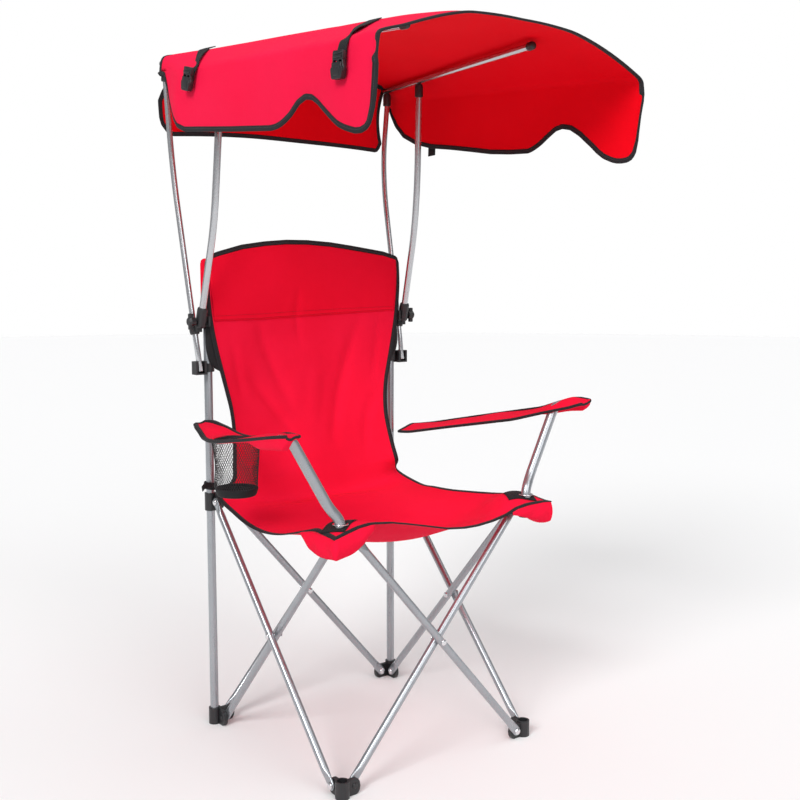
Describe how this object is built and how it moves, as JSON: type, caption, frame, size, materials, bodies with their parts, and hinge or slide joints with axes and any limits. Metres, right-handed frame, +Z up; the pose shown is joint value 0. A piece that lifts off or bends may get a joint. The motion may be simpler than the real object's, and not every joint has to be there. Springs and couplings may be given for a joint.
{
  "type": "folding camp chair with canopy",
  "caption": "Quad-fold camp chair with a tilting sun canopy on two rear posts, sling seat and back, flat armrests and a mesh cup holder.",
  "frame": {"origin": "on the floor under the middle of the whole chair's box", "axes": "+Z up, -Y the way the sitter faces, -X the sitter's right, where the cup holder is"},
  "size_m": [0.6844, 0.7064, 1.3123],
  "materials": {
    "grey_painted_tube": "silver-grey powder-coated steel tube",
    "bright_pole": "glossy light grey painted steel tube",
    "black_plastic": "black injection-moulded plastic with a satin surface",
    "rivet_steel": "bright plated steel rivet",
    "red_fabric": "crimson polyester canvas with charcoal binding",
    "black_mesh": "black knitted net",
    "black_webbing": "black woven webbing"
  },
  "bodies": {
    "rear_left_corner": {"foot_rear_left": "black_plastic", "rear_post_left": "grey_painted_tube", "canopy_clamp_left": "black_plastic", "pole_clip_left": "black_plastic", "back_fabric": "red_fabric", "seat_fabric": "red_fabric", "armrest_left": "red_fabric", "cup_holder": "black_mesh"},
    "rear_brace_outer": {"rear_brace_outer": "grey_painted_tube", "middle_rivet_rear": "rivet_steel"},
    "rear_brace_inner": {"rear_brace_inner": "grey_painted_tube"},
    "rear_right_corner": {"foot_rear_right": "black_plastic", "rear_post_right": "grey_painted_tube", "canopy_clamp_right": "black_plastic", "pole_clip_right": "black_plastic", "armrest_right": "red_fabric"},
    "slider_left": {"slider_left": "black_plastic"},
    "slider_right": {"slider_right": "black_plastic"},
    "left_brace_inner": {"left_brace_inner": "grey_painted_tube", "middle_rivet_left": "rivet_steel"},
    "left_brace_outer": {"left_brace_outer": "grey_painted_tube"},
    "front_left_foot": {"foot_front_left": "black_plastic"},
    "front_left_arm": {"front_bracket_left": "black_plastic", "arm_tube_left": "grey_painted_tube"},
    "right_brace_inner": {"right_brace_inner": "grey_painted_tube", "middle_rivet_right": "rivet_steel"},
    "right_brace_outer": {"right_brace_outer": "grey_painted_tube"},
    "front_right_foot": {"foot_front_right": "black_plastic"},
    "front_right_arm": {"front_bracket_right": "black_plastic", "arm_tube_right": "grey_painted_tube"},
    "front_brace_inner": {"front_brace_inner": "grey_painted_tube", "middle_rivet_front": "rivet_steel"},
    "front_brace_outer": {"front_brace_outer": "grey_painted_tube"},
    "canopy_truss_left": {"canopy_pole_thick_left": "bright_pole", "canopy_pole_thin_left": "bright_pole", "pole_hub_left": "black_plastic", "canopy_rail_left": "bright_pole", "rail_end_cap_left": "black_plastic", "rail_joint_front_left": "black_plastic", "rail_joint_rear_left": "black_plastic", "canopy_strap_front_left": "black_webbing", "canopy_strap_rear_left": "black_webbing", "strap_buckle_front_left": "black_plastic", "strap_buckle_rear_left": "black_plastic", "canopy_fabric": "red_fabric", "canopy_rear_flap": "red_fabric"},
    "knob_left": {"clamp_knob_left": "black_plastic"},
    "canopy_truss_right": {"canopy_pole_thick_right": "bright_pole", "canopy_pole_thin_right": "bright_pole", "pole_hub_right": "black_plastic", "canopy_rail_right": "bright_pole", "rail_end_cap_right": "black_plastic", "rail_joint_front_right": "black_plastic", "rail_joint_rear_right": "black_plastic", "canopy_strap_front_right": "black_webbing", "canopy_strap_rear_right": "black_webbing", "strap_buckle_front_right": "black_plastic", "strap_buckle_rear_right": "black_plastic"},
    "knob_right": {"clamp_knob_right": "black_plastic"}
  },
  "joints": [
    {"name": "frame_fold", "type": "hinge", "parent": "rear_left_corner", "child": "rear_brace_outer", "pos_m": [-0.188, 0.2626, 0.016], "axis": [0, -1, 0], "range_deg": [0, 28], "deforming": ["back_fabric", "seat_fabric", "armrest_left", "armrest_right", "cup_holder", "canopy_fabric", "canopy_rear_flap"]},
    {"name": "rear_cross", "type": "hinge", "parent": "rear_brace_outer", "child": "rear_brace_inner", "pos_m": [0, 0.2626, 0.22924], "axis": [0, -1, 0], "range_deg": [-56, 0]},
    {"name": "rear_right_foot_pivot", "type": "hinge", "parent": "rear_brace_inner", "child": "rear_right_corner", "pos_m": [0.188, 0.2626, 0.016], "axis": [0, -1, 0], "range_deg": [0, 28]},
    {"name": "slider_left_pivot", "type": "hinge", "parent": "rear_brace_inner", "child": "slider_left", "pos_m": [-0.188, 0.2626, 0.44249], "axis": [0, -1, 0], "range_deg": [0, 28]},
    {"name": "slider_right_pivot", "type": "hinge", "parent": "rear_brace_outer", "child": "slider_right", "pos_m": [0.188, 0.2626, 0.44249], "axis": [0, -1, 0], "range_deg": [-28, 0]},
    {"name": "left_brace_foot_pivot", "type": "hinge", "parent": "rear_left_corner", "child": "left_brace_inner", "pos_m": [-0.2115, 0.2411, 0.016], "axis": [-1, 0, 0], "range_deg": [0, 28]},
    {"name": "left_cross", "type": "hinge", "parent": "left_brace_inner", "child": "left_brace_outer", "pos_m": [-0.2115, 0.0531, 0.22924], "axis": [-1, 0, 0], "range_deg": [-56, 0]},
    {"name": "front_left_foot_pivot", "type": "hinge", "parent": "left_brace_outer", "child": "front_left_foot", "pos_m": [-0.2115, -0.1349, 0.016], "axis": [-1, 0, 0], "range_deg": [0, 28]},
    {"name": "front_left_bracket_pivot", "type": "hinge", "parent": "left_brace_inner", "child": "front_left_arm", "pos_m": [-0.2115, -0.1349, 0.44249], "axis": [-1, 0, 0], "range_deg": [-28, 0]},
    {"name": "right_brace_foot_pivot", "type": "hinge", "parent": "rear_right_corner", "child": "right_brace_inner", "pos_m": [0.2115, 0.2411, 0.016], "axis": [-1, 0, 0], "range_deg": [0, 28]},
    {"name": "right_cross", "type": "hinge", "parent": "right_brace_inner", "child": "right_brace_outer", "pos_m": [0.2115, 0.0531, 0.22924], "axis": [-1, 0, 0], "range_deg": [-56, 0]},
    {"name": "front_right_foot_pivot", "type": "hinge", "parent": "right_brace_outer", "child": "front_right_foot", "pos_m": [0.2115, -0.1349, 0.016], "axis": [-1, 0, 0], "range_deg": [0, 28]},
    {"name": "front_right_bracket_pivot", "type": "hinge", "parent": "right_brace_inner", "child": "front_right_arm", "pos_m": [0.2115, -0.1349, 0.44249], "axis": [-1, 0, 0], "range_deg": [-28, 0]},
    {"name": "front_brace_foot_pivot", "type": "hinge", "parent": "front_left_foot", "child": "front_brace_inner", "pos_m": [-0.188, -0.1564, 0.016], "axis": [0, -1, 0], "range_deg": [0, 28]},
    {"name": "front_cross", "type": "hinge", "parent": "front_brace_inner", "child": "front_brace_outer", "pos_m": [0, -0.1564, 0.22924], "axis": [0, -1, 0], "range_deg": [-56, 0]},
    {"name": "canopy_tilt_left", "type": "hinge", "parent": "rear_left_corner", "child": "canopy_truss_left", "pos_m": [-0.241, 0.2471, 0.787], "axis": [-1, 0, 0], "range_deg": [0, 120]},
    {"name": "canopy_tilt_right", "type": "hinge", "parent": "rear_right_corner", "child": "canopy_truss_right", "pos_m": [0.241, 0.2471, 0.787], "axis": [-1, 0, 0], "range_deg": [0, 120]},
    {"name": "knob_left_turn", "type": "hinge", "parent": "rear_left_corner", "child": "knob_left", "pos_m": [-0.258, 0.2471, 0.787], "axis": [-1, 0, 0], "range_deg": [-180, 180]},
    {"name": "knob_right_turn", "type": "hinge", "parent": "rear_right_corner", "child": "knob_right", "pos_m": [0.258, 0.2471, 0.787], "axis": [1, 0, 0], "range_deg": [-180, 180]}
  ],
  "couplings": [
    {"joint": "rear_cross", "follows": "frame_fold", "ratio": -2},
    {"joint": "rear_right_foot_pivot", "follows": "frame_fold", "ratio": 1},
    {"joint": "slider_left_pivot", "follows": "frame_fold", "ratio": 1},
    {"joint": "slider_right_pivot", "follows": "frame_fold", "ratio": -1},
    {"joint": "left_brace_foot_pivot", "follows": "frame_fold", "ratio": 1},
    {"joint": "left_cross", "follows": "frame_fold", "ratio": -2},
    {"joint": "front_left_foot_pivot", "follows": "frame_fold", "ratio": 1},
    {"joint": "front_left_bracket_pivot", "follows": "frame_fold", "ratio": -1},
    {"joint": "right_brace_foot_pivot", "follows": "frame_fold", "ratio": 1},
    {"joint": "right_cross", "follows": "frame_fold", "ratio": -2},
    {"joint": "front_right_foot_pivot", "follows": "frame_fold", "ratio": 1},
    {"joint": "front_right_bracket_pivot", "follows": "frame_fold", "ratio": -1},
    {"joint": "front_brace_foot_pivot", "follows": "frame_fold", "ratio": 1},
    {"joint": "front_cross", "follows": "frame_fold", "ratio": -2},
    {"joint": "canopy_tilt_right", "follows": "canopy_tilt_left", "ratio": 1}
  ]
}
